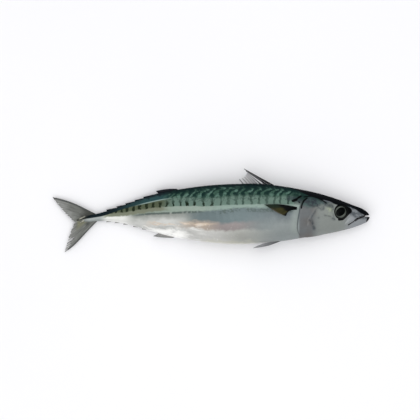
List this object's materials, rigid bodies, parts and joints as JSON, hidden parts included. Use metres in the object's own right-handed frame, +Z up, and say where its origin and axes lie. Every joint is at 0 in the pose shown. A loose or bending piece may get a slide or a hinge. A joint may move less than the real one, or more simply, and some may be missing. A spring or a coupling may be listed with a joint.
{
  "type": "whole raw mackerel",
  "caption": "Whole raw mackerel lying on its flank, with a spindle-shaped body, open mouth, raised spiny back fin, folded fins, finlets and a forked tail.",
  "frame": {"origin": "centre of the box that holds the fish, at the level of the table that it lies on", "axes": "+X from tail to head, +Y from belly to back, +Z up from the hidden left flank to the shown right flank"},
  "size_m": [0.3496, 0.0926, 0.045],
  "materials": {
    "mackerel_skin": "wet fish skin: blue-green back with dark wavy bars, pale green-silver stripe, silver flank with a pink sheen, white belly, dusky fins, black and silver eye"
  },
  "bodies": {
    "root": {"mackerel": "mackerel_skin"}
  },
  "joints": []
}
